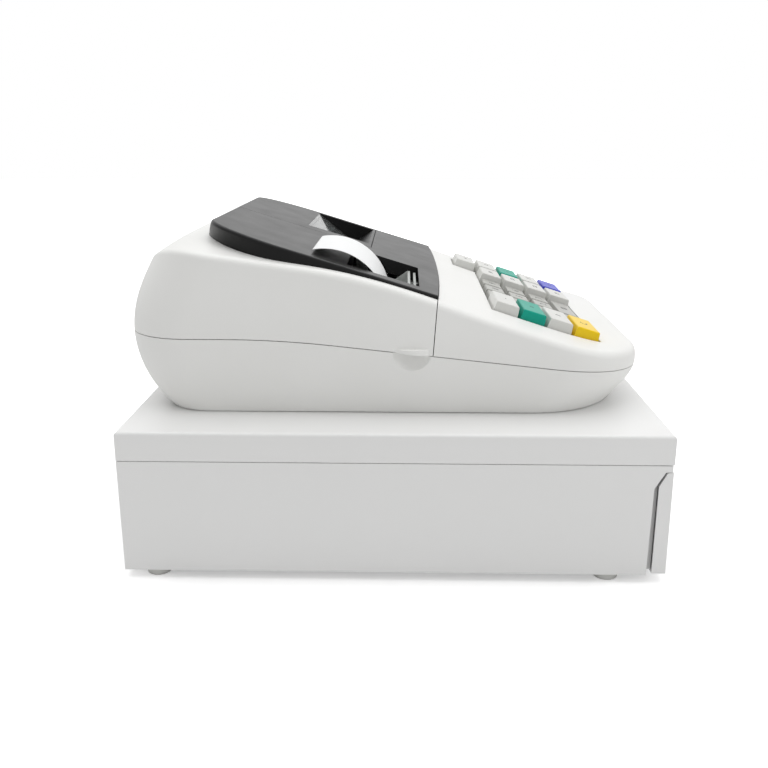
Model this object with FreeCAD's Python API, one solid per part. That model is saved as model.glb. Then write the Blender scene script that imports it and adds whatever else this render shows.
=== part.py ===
import FreeCAD, Part
import math
import os
from FreeCAD import Placement, Rotation, Vector

# A compact cash register: a square steel drawer case that carries a rounded plastic register body
# with a sloping keyboard, a lift-off printer cover and a raised dark display cover.
# Millimetres. X runs across the register (the operator's right is +X), -Y faces the operator, +Z is up.
# The origin is on the counter, in the middle of the footprint.

os.makedirs("parts", exist_ok=True)
doc = FreeCAD.newDocument("cash_register")

# Driving sizes
SIZES = [
    ("case_width", 330, "drawer case, across"),
    ("case_depth", 330, "drawer case, front to back"),
    ("case_back", 163, "rear face of the case, behind the origin"),
    ("case_height", 94.5, "top of the case lid above the counter"),
    ("lid_drop", 17.8, "height of the folded edge of the lid"),
    ("lid_fold", 2.0, "outside bend radius of the lid"),
    ("sheet_gauge", 1.2, "steel sheet of the case and the drawer"),
    ("panel_gap", 0.5, "visible joint between panels"),
    ("foot_height", 5.5, "rubber foot"),
    ("foot_radius", 8.3, "rubber foot"),
    ("foot_inset", 10.5, "foot centre from the side of the case"),
    ("foot_front", 34.0, "front foot centre from the front of the case"),
    ("foot_rear", 18.5, "rear foot centre from the rear of the case"),
    ("front_thickness", 8.4, "drawer front"),
    ("front_bevel", 9.2, "height of the slanted top of the drawer front"),
    ("drawer_length", 282, "drawer tub behind its front"),
    ("drawer_side_room", 14, "room for a runner beside the tub"),
    ("tub_height", 48, "drawer tub"),
    ("runner_gauge", 2.0, "drawer runner"),
    ("tray_wall", 2.0, "coin tray partitions"),
    ("tray_height", 45, "coin tray"),
    ("coin_cups", 5, "coin cups across the tray"),
    ("note_bays", 4, "note bays across the tray"),
    ("coin_length", 128, "coin cups, front to back"),
    ("clip_reach", 32, "note clip from its pin to its tip"),
    ("clip_pin", 2.0, "radius of a note clip's pin"),
    ("lock_radius", 8.5, "drawer lock barrel"),
    ("lock_height", 40, "drawer lock above the counter"),
    ("shell_wall", 2.6, "moulded walls of the register body"),
    ("body_half", 123.3, "half width of the body where it meets the lid"),
    ("seam_half", 130.2, "half width of the body at its seam"),
    ("crown_half", 124.6, "half width of the body above its top edge"),
    ("body_front", 146.2, "front of the body at the lid, ahead of the origin"),
    ("body_rear", 143.5, "rear of the body at the lid, behind the origin"),
    ("seam_front", 161.0, "front of the body at the seam"),
    ("seam_rear", 168.0, "rear of the body at the seam"),
    ("seam_rear_height", 142.6, "seam of the body at the rear"),
    ("seam_slope", 0.105, "fall of the seam towards the front"),
    ("seam_datum", 135.3, "height of the sloping seam at the origin"),
    ("edge_round", 5.0, "rounded top edge of the body"),
    ("cover_front", 25.0, "side joint between the covers and the keyboard housing, ahead of the origin"),
    ("cover_bow", 4.0, "bow of that joint towards the operator"),
    ("cover_lean", 0.064, "lean of that joint towards the operator, going up"),
    ("dark_half", 121.5, "half width of the dark cover at its rear top edge"),
    ("dark_rear", 111, "rear top edge of the dark cover"),
    ("dark_round", 23, "rear corners of the dark cover, at the top"),
    ("dark_waist", 117.4, "half width of the dark cover where it meets the white shell"),
    ("dark_foot", 121.5, "rear of the dark cover where it meets the white shell"),
    ("dark_foot_round", 56, "rear corners of the dark cover where it meets the white shell"),
    ("dark_datum", 176.6, "height of the dark cover at the origin"),
    ("dark_slope", 0.305, "slope of the dark cover"),
    ("split", 0.0, "long joint between the printer cover and the display cover"),
    ("strip_rear", 17.0, "rear edge of the printer cover's cross strip"),
    ("rail_inner", 114, "inner edge of the narrow rail beside the cross strip"),
    ("slot_left", 106, "paper slot, near edge from the middle"),
    ("slot_right", 30, "paper slot, far edge from the middle"),
    ("slot_front", 17, "paper slot, front edge ahead of the origin"),
    ("slot_rear", 28, "paper slot, rear edge behind the origin"),
    ("paper_width", 69, "receipt paper"),
    ("paper_gauge", 0.3, "receipt paper"),
    ("paper_line", 3.0, "where the paper rises out of the printer, behind the origin"),
    ("curl_radius", 40, "curl of the printed receipt"),
    ("curl_top", 194.5, "top of the curled receipt"),
    ("curl_turn", 100, "turn of the curl, in degrees"),
    ("platen_radius", 8.0, "platen roller"),
    ("roll_radius", 30, "paper roll"),
    ("roll_height", 131, "axis of the paper roll above the counter"),
    ("roll_back", 96, "axis of the paper roll behind the origin"),
    ("recess_left", 17, "display recess, near wall"),
    ("recess_right", 110, "display recess, far wall"),
    ("recess_rear", 65, "display recess, rear edge"),
    ("window_pitch", 40, "display window from level, in degrees"),
    ("window_gauge", 2.0, "display window"),
    ("key_datum", 180.8, "height of the key tops at the origin"),
    ("key_slope", 0.315, "slope of the keys"),
    ("key_pitch", 17.6, "key rows, front to back"),
    ("key_gap", 0.8, "gap between neighbouring keys"),
    ("number_gap", 2.2, "gap between neighbouring number keys"),
    ("key_draft", 1.3, "slope of each key wall, over its height"),
    ("key_cap", 12.5, "height of a key cap"),
    ("key_step", 4.0, "drop of the number keys below the others"),
    ("key_travel", 3.5, "key travel"),
    ("key_stem", 5.0, "square key stem"),
    ("stem_fit", 0.3, "room round a key stem"),
    ("bed_gauge", 3.0, "key bed"),
]

sheet = doc.addObject("Spreadsheet::Sheet", "Sizes")
for number, (alias, amount, note) in enumerate(SIZES, start=1):
    sheet.set("A%d" % number, note)
    sheet.set("B%d" % number, str(amount))
    sheet.setAlias("B%d" % number, alias)
doc.recompute()


def size(alias):
    return float(sheet.get(alias))


CASE_HALF = size("case_width") / 2
CASE_BACK = size("case_back")
CASE_FRONT = CASE_BACK - size("case_depth")
LID_TOP = size("case_height")
LID_SEAM = LID_TOP - size("lid_drop")
FLOOR = size("foot_height")
GAUGE = size("sheet_gauge")
GAP = size("panel_gap")
WALL = size("shell_wall")
TILT = math.atan(size("key_slope"))
NODES = []


# Shared helpers

def block(x0, x1, y0, y1, z0, z1):
    return Part.makeBox(x1 - x0, y1 - y0, z1 - z0, Vector(x0, y0, z0))


def rod(radius, start, axis, length):
    return Part.makeCylinder(radius, length, start, axis)


def profile_along_x(points, x0, x1):
    wire = Part.makePolygon([Vector(x0, y, z) for y, z in points + points[:1]])
    return Part.Face(wire).extrude(Vector(x1 - x0, 0, 0))


def outline(half, front, rear, front_round, rear_round):
    """Closed plan outline with straight sides and rounded corners, at height zero."""
    d = math.sqrt(0.5)
    fr, rr = front_round, rear_round
    p = [Vector(-half + fr, front, 0), Vector(half - fr, front, 0),
         Vector(half, front + fr, 0), Vector(half, rear - rr, 0),
         Vector(half - rr, rear, 0), Vector(-half + rr, rear, 0),
         Vector(-half, rear - rr, 0), Vector(-half, front + fr, 0)]
    mid = [Vector(half - fr + fr * d, front + fr - fr * d, 0),
           Vector(half - rr + rr * d, rear - rr + rr * d, 0),
           Vector(-half + rr - rr * d, rear - rr + rr * d, 0),
           Vector(-half + fr - fr * d, front + fr - fr * d, 0)]
    edges = [Part.LineSegment(p[0], p[1]).toShape(), Part.Arc(p[1], mid[0], p[2]).toShape(),
             Part.LineSegment(p[2], p[3]).toShape(), Part.Arc(p[3], mid[1], p[4]).toShape(),
             Part.LineSegment(p[4], p[5]).toShape(), Part.Arc(p[5], mid[2], p[6]).toShape(),
             Part.LineSegment(p[6], p[7]).toShape(), Part.Arc(p[7], mid[3], p[0]).toShape()]
    return Part.Wire(edges)


def tilted(wire, front, rear, front_height, rear_height):
    """The outline, raised so that its front and rear edges lie at two heights."""
    angle = math.degrees(math.atan((rear_height - front_height) / (rear - front)))
    moved = wire.copy()
    moved.rotate(Vector(0, front, 0), Vector(1, 0, 0), angle)
    moved.translate(Vector(0, 0, front_height))
    return moved


def keep(label, shape):
    """A rigid sub-part whose form is set by the functions here."""
    feature = doc.addObject("Part::Feature", label)
    feature.Label = label
    feature.Shape = shape
    NODES.append(feature)
    return feature


# Master form of the register body

def body_skin(inset):
    """The body from the lid up, wider at its seam and leaning in above it; a loft of plan outlines."""
    front, rear = size("body_front"), size("body_rear")
    seam_front, seam_rear = size("seam_front"), size("seam_rear")
    low, seam, top = size("body_half"), size("seam_half"), size("crown_half")
    seam_low = size("seam_datum") - size("seam_slope") * seam_front
    sections = [
        (low, -front, rear, 60, 28.5, LID_TOP, LID_TOP),
        (0.6 * low + 0.4 * seam, -0.6 * front - 0.4 * seam_front, 0.57 * rear + 0.43 * seam_rear,
         60, 33, LID_TOP + 8, LID_TOP + 11),
        (seam, -seam_front, seam_rear, 60, 41, seam_low, size("seam_rear_height")),
        (0.35 * top + 0.65 * seam, -seam_front + 2, seam_rear - 7, 59, 40,
         seam_low + 15, size("seam_rear_height") + 35),
        (top, -seam_front + 6, seam_rear - 20, 57, 38, seam_low + 33, size("seam_rear_height") + 72),
    ]
    wires = []
    for half, y0, y1, front_round, rear_round, z0, z1 in sections:
        wire = outline(half - inset, y0 + inset, y1 - inset, front_round - inset, rear_round - inset)
        wires.append(tilted(wire, y0 + inset, y1 - inset, z0, z1))
    return Part.makeLoft(wires, True, False)


# Top of the body on its centre line, front to rear, and how far its edges lie below that
DECK_LINE = [(-180, 125.0, 1.5), (-150, 131.0, 0.5), (-126, 134.8, 0.3), (-88, 146.4, 0.8), (-57, 156.6, 1.2),
             (-26, 167.4, 1.5), (0, 175.6, 1.5), (38, 185.6, 2.5), (75, 192.8, 4.5), (108, 199.6, 7.0),
             (125, 201.4, 7.5), (138, 198.2, 6.0), (150, 190.6, 3.0), (162, 177.0, 1.0), (178, 152.0, 0.0)]


def deck_face(lower):
    """The crowned top surface, lowered by a wall where the inside of the shell is made."""
    stations = [-1.12, -1.0, -0.85, -0.6, -0.3, 0, 0.3, 0.6, 0.85, 1.0, 1.12]
    half = size("crown_half") + 2
    grid = [[Vector(s * half, y, z - fall * s ** 4 - lower) for y, z, fall in DECK_LINE] for s in stations]
    surface = Part.BSplineSurface()
    surface.interpolate(grid)
    return surface.toShape()


def under_deck(lower):
    return deck_face(lower).extrude(Vector(0, 0, -150))


def rounded_top(shape, face, radius):
    """Rounds the edges that lie on the top surface."""
    edges = []
    for edge in shape.Edges:
        spots = [edge.valueAt(edge.FirstParameter + (edge.LastParameter - edge.FirstParameter) * k / 6.0)
                 for k in range(7)]
        if all(face.distToShape(Part.Vertex(spot))[0] < 0.02 for spot in spots):
            edges.append(edge)
    return shape.makeFillet(radius, edges)


outer_raw = body_skin(0).common(under_deck(0))
outer = rounded_top(outer_raw, deck_face(0), size("edge_round"))
inner = body_skin(WALL).common(under_deck(WALL))
inner = inner.common(block(-200, 200, -200, 200, LID_TOP + WALL, 300))


def below_seam(lift):
    """Everything below the body's seam: level at the rear, falling to the front, with a long bend."""
    level = size("seam_rear_height") + lift
    datum = size("seam_datum") + lift
    slope = size("seam_slope")
    meet = (level - datum) / slope
    bend = 32
    along = 1 / math.hypot(1, slope)
    start = Vector(-160, -220, datum - 220 * slope)
    bend_start = Vector(-160, meet - bend * along, level - bend * along * slope)
    bend_end = Vector(-160, meet + bend, level)
    turn = math.atan(slope)
    radius = bend / math.tan(turn / 2)
    middle = Vector(-160, meet + bend - radius * math.sin(turn / 2), level - radius * (1 - math.cos(turn / 2)))
    end = Vector(-160, 220, level)
    edges = [Part.LineSegment(start, bend_start).toShape(),
             Part.Arc(bend_start, middle, bend_end).toShape(),
             Part.LineSegment(bend_end, end).toShape(),
             Part.LineSegment(end, Vector(-160, 220, 0)).toShape(),
             Part.LineSegment(Vector(-160, 220, 0), Vector(-160, -220, 0)).toShape(),
             Part.LineSegment(Vector(-160, -220, 0), start).toShape()]
    return Part.Face(Part.Wire(edges)).extrude(Vector(320, 0, 0))


def ahead_of_joint(shift):
    """Everything ahead of the bowed joint between the covers and the keyboard housing."""
    ends = -size("cover_front") + shift
    bow = size("cover_bow")
    lean = size("cover_lean")
    ends += lean * (150 - 60)
    left, right = Vector(-150, ends, 60), Vector(150, ends, 60)
    edges = [Part.Arc(left, Vector(0, ends - bow * 1.45, 60), right).toShape(),
             Part.LineSegment(right, Vector(150, -250, 60)).toShape(),
             Part.LineSegment(Vector(150, -250, 60), Vector(-150, -250, 60)).toShape(),
             Part.LineSegment(Vector(-150, -250, 60), left).toShape()]
    return Part.Face(Part.Wire(edges)).extrude(Vector(0, -lean * 240, 240))


# Dark cover: a raised tray over the printer and the display, with sloping sides

def dark_outline(inset, height, half, rear, corner):
    wire = outline(half - inset, -60, rear - inset, 10, corner - inset)
    wire.translate(Vector(0, 0, height))
    return wire


def dark_block(inset):
    """Undercut at the sides, so that its top overhangs, and flared towards the rear."""
    waist = (size("dark_waist"), size("dark_foot"), size("dark_foot_round"))
    top = (size("dark_half"), size("dark_rear"), size("dark_round"))
    return Part.makeLoft([dark_outline(inset, 140, waist[0] + 2, waist[1], waist[2]),
                          dark_outline(inset, 170, waist[0] + 1, waist[1], waist[2]),
                          dark_outline(inset, 196, *waist), dark_outline(inset, 213, *top)], True, False)


def dark_level(y):
    return size("dark_datum") + size("dark_slope") * y


def below_dark(lower):
    """Everything below the sloping top of the dark cover."""
    points = [(-60, dark_level(-60) - lower), (140, dark_level(140) - lower), (140, 90), (-60, 90)]
    return profile_along_x(points, -150, 150)


EDGE_LINE = [(-70, 148.5), (-26, 160.8), (0, 168.6), (38, 178.4), (75, 184.0), (140, 190.0)]


def above_skirt():
    """Everything above the hidden lower edge of the dark cover, which follows the deck."""
    return profile_along_x(EDGE_LINE + [(140, 260), (-70, 260)], -150, 150)


behind_joint = block(-150, 150, -200, 200, 60, 300).cut(ahead_of_joint(0.25))
dark_solid = dark_block(0).common(below_dark(0)).common(behind_joint)
sides = [e for e in dark_solid.Edges
         if all(abs(v.Z - dark_level(v.Y)) < 0.02 for v in e.Vertexes)
         and max(v.Y for v in e.Vertexes) > 0]
dark_solid = dark_solid.makeFillet(1.6, sides)
behind_wall = block(-150, 150, -200, 200, 60, 300).cut(ahead_of_joint(0.25 + WALL))
dark_hollow = dark_block(WALL).common(below_dark(WALL)).common(behind_wall)
dark_shell = dark_solid.common(above_skirt()).cut(dark_hollow)


# Register body: lower case, keyboard housing and the two white covers

seam_low_side = below_seam(-GAP / 2)
seam_high_side = below_seam(GAP / 2)
shell = outer.cut(inner)

scoop_y = -(size("cover_front") / 2)
scoop_z = size("seam_datum") + size("seam_slope") * scoop_y
boss = block(-size("seam_half") - 1, -size("seam_half") + 9, scoop_y - 17, scoop_y + 17, scoop_z - 20, scoop_z + 5)
scoop = Part.makeSphere(18, Vector(-size("seam_half") - 13.2, scoop_y, scoop_z + 1.5))
lower = shell.fuse(boss.common(outer)).common(seam_low_side)
lower = lower.cut(scoop)
for x in (-90, 90):
    for y in (-100, 122):
        pillar = rod(5, Vector(x, y, LID_TOP), Vector(0, 0, 1), 15)
        lower = lower.fuse(pillar)
inlet_x, inlet_z = 90, LID_TOP + 22
flange_radius = 8.5
probe = Part.LineSegment(Vector(inlet_x, 100, inlet_z + flange_radius), Vector(inlet_x, 220, inlet_z + flange_radius))
inlet_face = max(vertex.Y for vertex in probe.toShape().common(outer).Vertexes)
inlet_boss = rod(flange_radius + 1.5, Vector(inlet_x, inlet_face - 16, inlet_z), Vector(0, 1, 0), 16)
lower = lower.fuse(inlet_boss).cut(rod(6.05, Vector(inlet_x, 100, inlet_z), Vector(0, 1, 0), 90))
shadow_gap = block(-200, 200, -200, 200, LID_TOP - 1, LID_TOP + 0.7).cut(body_skin(1.2))
lower = lower.cut(shadow_gap)
keep("lower_case", lower.removeSplitter())

upper = shell.cut(seam_high_side)
dark_hole = dark_block(0).common(behind_joint).common(above_skirt())
ahead = ahead_of_joint(-0.25)
front_shell = upper.common(ahead)
rear_shell = upper.common(behind_joint).cut(dark_hole)
split = size("split")
cover_white = rear_shell.common(block(-200, split - 0.25, -200, 200, 60, 300))
display_white = rear_shell.common(block(split + 0.25, 200, -200, 200, 60, 300))

grip_z = scoop_z + GAP / 2
grip = Part.makeCylinder(16, 4.0, Vector(-size("seam_half") + 12.4, scoop_y, grip_z - 1.2))
grip = grip.common(block(-160, -size("seam_half") + 1.2, -60, 40, 0, 300)).cut(seam_high_side)
keep("printer_cover_shell", cover_white.fuse(grip).removeSplitter())
keep("display_cover_shell", display_white)

# Dark panels: the printer cover's panel with the paper slot, and the display cover's panel with its recess
strip_rear = size("strip_rear")
rail = size("rail_inner")
cover_zone = block(-200, split - 0.25, -200, 200, 60, 300)
cover_zone = cover_zone.fuse(block(split - 1, rail - 0.25, -200, strip_rear - 0.25, 60, 300))
display_zone = block(split + 0.25, 200, strip_rear + 0.25, 200, 60, 300)
display_zone = display_zone.fuse(block(rail + 0.25, 200, -200, strip_rear + 1, 60, 300))
cover_dark = dark_shell.common(cover_zone)
slot = block(-size("slot_left"), -size("slot_right"), -size("slot_front"), size("slot_rear"), 120, 260)
slot_lip = block(-size("slot_left") - 1.8, -size("slot_right") + 1.8, -size("slot_front") - 1.8,
                 size("slot_rear") + 1.8, 120, 260).common(below_dark(0.8))
well = slot_lip.cut(slot).common(profile_along_x(
    [(-40, dark_level(-40) - 10), (60, dark_level(60) - 10), (60, 260), (-40, 260)], -150, 150))
cover_dark = cover_dark.fuse(well.common(dark_block(WALL))).cut(slot)
keep("printer_cover_panel", cover_dark.removeSplitter())

pitch = math.radians(size("window_pitch"))
recess_left, recess_right = size("recess_left"), size("recess_right")
rear_top = (size("recess_rear"), dark_level(size("recess_rear")))
front_top = (strip_rear + 2.2, dark_level(strip_rear + 2.2))
ramp = 0.675
valley_y = ((rear_top[1] - front_top[1]) - math.tan(pitch) * rear_top[0] - ramp * front_top[0]) / (
    -ramp - math.tan(pitch))
valley = (valley_y, rear_top[1] - math.tan(pitch) * (rear_top[0] - valley_y))
over = 30


def recess_form(swell):
    """The notch of the display: window slope behind, ramp in front, swollen by a wall for its lining."""
    rise = swell / math.cos(pitch)
    points = [(rear_top[0] + rise, rear_top[1] - 0.0), (valley[0], valley[1] - rise),
              (front_top[0] - rise, front_top[1]), (front_top[0] - rise, front_top[1] + over),
              (rear_top[0] + rise, rear_top[1] + over)]
    return profile_along_x(points, recess_left - swell, recess_right + swell)


lining = recess_form(2.0).common(below_dark(1.0)).common(block(split + 0.25, 200, strip_rear + 0.25, 200, 60, 300))
display_dark = dark_shell.common(display_zone).fuse(lining).cut(recess_form(0))
gauge = size("window_gauge")
slope_x = (math.cos(pitch), math.sin(pitch))
window_run = (rear_top[0] - valley[0]) / slope_x[0]


def on_window(along, depth):
    """A point of the window slope, up the slope from the valley, and below its surface."""
    return (valley[0] + along * slope_x[0] + depth * slope_x[1], valley[1] + along * slope_x[1] - depth * slope_x[0])


pane_profile = [on_window(0.6, 0.1), on_window(window_run - 0.6, 0.1),
                on_window(window_run - 0.6, gauge - 0.5), on_window(0.6, gauge - 0.5)]
pane_space = profile_along_x(pane_profile, recess_left + 0.6, recess_right - 0.6)
view_profile = [on_window(3.5, -1), on_window(window_run - 3.5, -1),
                on_window(window_run - 3.5, 6), on_window(3.5, 6)]
display_dark = display_dark.cut(profile_along_x(view_profile, recess_left + 5, recess_right - 5))
display_dark = display_dark.cut(profile_along_x(
    [on_window(0.6, -0.2), on_window(window_run - 0.6, -0.2), on_window(window_run - 0.6, gauge - 0.5),
     on_window(0.6, gauge - 0.5)], recess_left + 0.6, recess_right - 0.6))
keep("display_cover_panel", display_dark.removeSplitter())
keep("display_window", pane_space)
board_profile = [on_window(2.5, 2.4), on_window(window_run - 2.5, 2.4),
                 on_window(window_run - 2.5, 5.4), on_window(2.5, 5.4)]
keep("display_module", profile_along_x(board_profile, recess_left + 6, recess_right - 6))


# Keyboard: keys on a sloping bed, each with its own stem, in rows from the rear to the front

DEEP = Vector(0, -math.sin(TILT), math.cos(TILT))
ALONG = Vector(0, math.cos(TILT), math.sin(TILT))


def key_frame(x, y, depth=0.0):
    """Placement on the plane of the key tops: local x across, local y up the slope, local z outwards."""
    base = Vector(x, y, size("key_datum") + size("key_slope") * y)
    return Placement(base + DEEP * depth, Rotation(Vector(1, 0, 0), math.degrees(TILT)))


PITCH = size("key_pitch")
FIRST_ROW = -48.6
ROWS = [FIRST_ROW - PITCH * r for r in range(5)]
STEP = size("key_step")

# Column edges across the register, from the operator's left
COLUMNS = {"a": (-89.8, -48.8), "b": (-46.6, -23.4), "c": (-22.8, 0.4), "d": (1.0, 24.2),
           "e": (24.8, 58.8), "f": (62.0, 98.0)}

# Keys: name, first and last column, row, number of rows, drop below the tall keys
KEYS = [("void", "a", "a", 1, 0), ("multiply", "a", "a", 2, 0), ("date", "a", "a", 3, 0), ("clear", "a", "a", 4, 0),
        ("seven", "b", "b", 1, STEP), ("eight", "c", "c", 1, STEP), ("nine", "d", "d", 1, STEP),
        ("four", "b", "b", 2, STEP), ("five", "c", "c", 2, STEP), ("six", "d", "d", 2, STEP),
        ("one", "b", "b", 3, STEP), ("two", "c", "c", 3, STEP), ("three", "d", "d", 3, STEP),
        ("zero", "b", "b", 4, STEP), ("double_zero", "c", "d", 4, STEP),
        ("department_four", "e", "e", 1, 0), ("department_three", "e", "e", 2, 0),
        ("department_two", "e", "e", 3, 0), ("department_one", "e", "e", 4, 0),
        ("paper_feed", "f", "f", 0, 0), ("percent", "f", "f", 1, 0), ("tax", "f", "f", 2, 0),
        ("subtotal", "f", "f", 3, 0), ("total", "f", "f", 4, 0)]


def key_span(first, last, row, drop):
    """Edges of a key cap's foot: left, right, front and rear, measured across and along the slope."""
    room = size("number_gap" if drop else "key_gap") / 2
    y_rear = ROWS[row]
    return COLUMNS[first][0] + room, COLUMNS[last][1] - room, y_rear - PITCH + room, y_rear - room


def key_solid(first, last, row, drop):
    x0, x1, y0, y1 = key_span(first, last, row, drop)
    half_x = (x1 - x0) / 2
    half_y = (y1 - y0) / 2 / math.cos(TILT)
    top, foot = -drop, -size("key_cap")
    draft = size("key_draft")
    foot_wire = Part.makePolygon([Vector(-half_x, -half_y, foot), Vector(half_x, -half_y, foot),
                                  Vector(half_x, half_y, foot), Vector(-half_x, half_y, foot),
                                  Vector(-half_x, -half_y, foot)])
    cx, cy = half_x - draft, half_y - draft
    top_wire = Part.makePolygon([Vector(-cx, -cy, top), Vector(cx, -cy, top), Vector(cx, cy, top),
                                 Vector(-cx, cy, top), Vector(-cx, -cy, top)])
    cap = Part.makeLoft([foot_wire, top_wire], True, True)
    rim = [e for e in cap.Edges if e.BoundBox.ZMin > foot + 0.1]
    cap = cap.makeFillet(0.9, rim)
    stem_half = size("key_stem") / 2
    stem = block(-stem_half, stem_half, -stem_half, stem_half, BED_TOP - size("bed_gauge") * 0.8, foot + 1)
    solid = cap.fuse(stem).removeSplitter()
    solid.Placement = key_frame((x0 + x1) / 2, (y0 + y1) / 2)
    return solid


BED_TOP = -size("key_cap") - size("key_travel") - 0.8
bed_x0, bed_x1 = COLUMNS["a"][0] - 6, COLUMNS["f"][1] + 6
bed_y0, bed_y1 = ROWS[4] - PITCH - 4, ROWS[0] + 5
mid_y = (bed_y0 + bed_y1) / 2
run = (bed_y1 - bed_y0) / 2 / math.cos(TILT)
bed = block(bed_x0, bed_x1, -run, run, BED_TOP - size("bed_gauge"), BED_TOP)
for x in (bed_x0 + 2.6, bed_x1 - 2.6):
    for y in (-run + 2.6, run - 2.6):
        bed = bed.fuse(rod(2.5, Vector(x, y, BED_TOP - 1), Vector(0, 0, 1), 14))
bed.Placement = key_frame(0, mid_y)
bed = bed.common(inner)
well_cut = None
for name, first, last, row, drop in KEYS:
    x0, x1, y0, y1 = key_span(first, last, row, drop)
    frame = key_frame((x0 + x1) / 2, (y0 + y1) / 2)
    hole_half = size("key_stem") / 2 + size("stem_fit")
    hole = block(-hole_half, hole_half, -hole_half, hole_half, BED_TOP - 10, BED_TOP + 10)
    hole.Placement = frame
    bed = bed.cut(hole)
    room = size("number_gap" if drop else "key_gap") / 2 + 0.5
    half_y = (y1 - y0) / 2 / math.cos(TILT)
    clear = block(x0 - (x0 + x1) / 2 - room, x1 - (x0 + x1) / 2 + room, -half_y - room, half_y + room, -22, 12)
    clear.Placement = frame
    well_cut = clear if well_cut is None else well_cut.fuse(clear)
for x, width in ((COLUMNS["a"][1], 2.4), (COLUMNS["e"][1], 3.4)):
    band = block(x - 1, x + width + 1, -run + 4, run - PITCH / math.cos(TILT) - 5.2, -22, 12)
    band.Placement = key_frame(0, mid_y)
    well_cut = well_cut.fuse(band)
keep("keyboard_housing", front_shell.cut(well_cut))
keep("key_bed", bed)
for name, first, last, row, drop in KEYS:
    keep("key_" + name, key_solid(first, last, row, drop))


# Drawer case: folded steel tray with open front, its lid, feet and drawer runners

front_face = CASE_FRONT
bevel_top = LID_SEAM - 4.6
bevel_low = bevel_top - size("front_bevel")
panel_back = front_face + size("front_thickness")
drawer_base = FLOOR + 0.9
side_edge = [(CASE_BACK, FLOOR), (panel_back + 3.4, FLOOR), (panel_back + 2.8, bevel_low - 1),
             (panel_back - 3.2, bevel_top), (front_face + 1.2, bevel_top + 0.4),
             (front_face + 1.2, LID_SEAM - GAP), (CASE_BACK, LID_SEAM - GAP)]
case = profile_along_x(side_edge, -CASE_HALF, CASE_HALF)
hollow = block(-CASE_HALF + GAUGE, CASE_HALF - GAUGE, -300, CASE_BACK - GAUGE, FLOOR + GAUGE, 300)
case = case.cut(hollow)
joggle = block(-CASE_HALF + GAUGE, CASE_HALF - GAUGE, panel_back, CASE_BACK - GAUGE, LID_SEAM - 7, LID_TOP - 3)
joggle = joggle.cut(block(-CASE_HALF + 2 * GAUGE, CASE_HALF - 2 * GAUGE, -300, CASE_BACK - 2 * GAUGE, 0, 300))
header = block(-CASE_HALF, CASE_HALF, front_face + 1.2, front_face + 3.4, bevel_top + 0.9, LID_SEAM - GAP)
header = header.fuse(block(-CASE_HALF + GAUGE, CASE_HALF - GAUGE, front_face + 3.4, panel_back + 0.5,
                           LID_SEAM - GAP - GAUGE, LID_SEAM - GAP))
case = case.fuse(joggle).fuse(header)
keep("drawer_case", case.removeSplitter())

lid_front = front_face + 0.5
lid = block(-CASE_HALF, CASE_HALF, lid_front, CASE_BACK, LID_SEAM, LID_TOP)
lid = lid.makeFillet(size("lid_fold"), [e for e in lid.Edges if e.BoundBox.ZMin > LID_TOP - 0.01])
lid = lid.cut(block(-CASE_HALF + GAUGE, CASE_HALF - GAUGE, lid_front + GAUGE, CASE_BACK - GAUGE, 0, LID_TOP - GAUGE))
keep("case_lid", lid)

corners = [Vector(4 * math.cos(math.radians(60 * k)), 0, 4 * math.sin(math.radians(60 * k))) for k in range(7)]
screw_head = Part.Face(Part.makePolygon(corners)).extrude(Vector(0, 2.2, 0))
screws = [screw_head.translated(Vector(x, CASE_BACK, LID_SEAM + 8)) for x in (-130, 0, 130)]
keep("lid_screws", Part.makeCompound(screws))

feet = []
for side in (-1, 1):
    for y in (CASE_FRONT + size("foot_front"), CASE_BACK - size("foot_rear")):
        x = side * (CASE_HALF - size("foot_inset"))
        foot = Part.makeCone(size("foot_radius") - 1, size("foot_radius"), size("foot_height"), Vector(x, y, 0))
        feet.append(foot)
keep("rubber_feet", Part.makeCompound(feet))

side_room = size("drawer_side_room")
tub_half = CASE_HALF - side_room
rail_gauge = size("runner_gauge")
rails = []
for side in (-1, 1):
    lip_in, web = tub_half - 12, tub_half + 0.6
    parts = [block(lip_in, CASE_HALF - GAUGE, panel_back + 5, CASE_BACK - 12, FLOOR + GAUGE, FLOOR + GAUGE + rail_gauge),
             block(web, web + rail_gauge, panel_back + 5, CASE_BACK - 12, FLOOR + GAUGE, FLOOR + 26),
             block(web, CASE_HALF - GAUGE, panel_back + 5, CASE_BACK - 12, FLOOR + 24, FLOOR + 26)]
    rail_shape = parts[0].fuse(parts[1]).fuse(parts[2]).removeSplitter()
    if side < 0:
        rail_shape = rail_shape.mirror(Vector(0, 0, 0), Vector(1, 0, 0))
    rails.append(rail_shape)
keep("drawer_runners", Part.makeCompound(rails))

# Drawer: steel tub, folded front, coin tray, note clips and lock
tub_floor = FLOOR + GAUGE + rail_gauge + 0.3
tub_rear = panel_back + size("drawer_length")
tub_top = tub_floor + size("tub_height")
tub = block(-tub_half, tub_half, panel_back, tub_rear, tub_floor, tub_top)
tub = tub.cut(block(-tub_half + GAUGE, tub_half - GAUGE, panel_back + GAUGE, tub_rear - GAUGE, tub_floor + GAUGE, 300))
keep("drawer_tub", tub)

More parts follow.
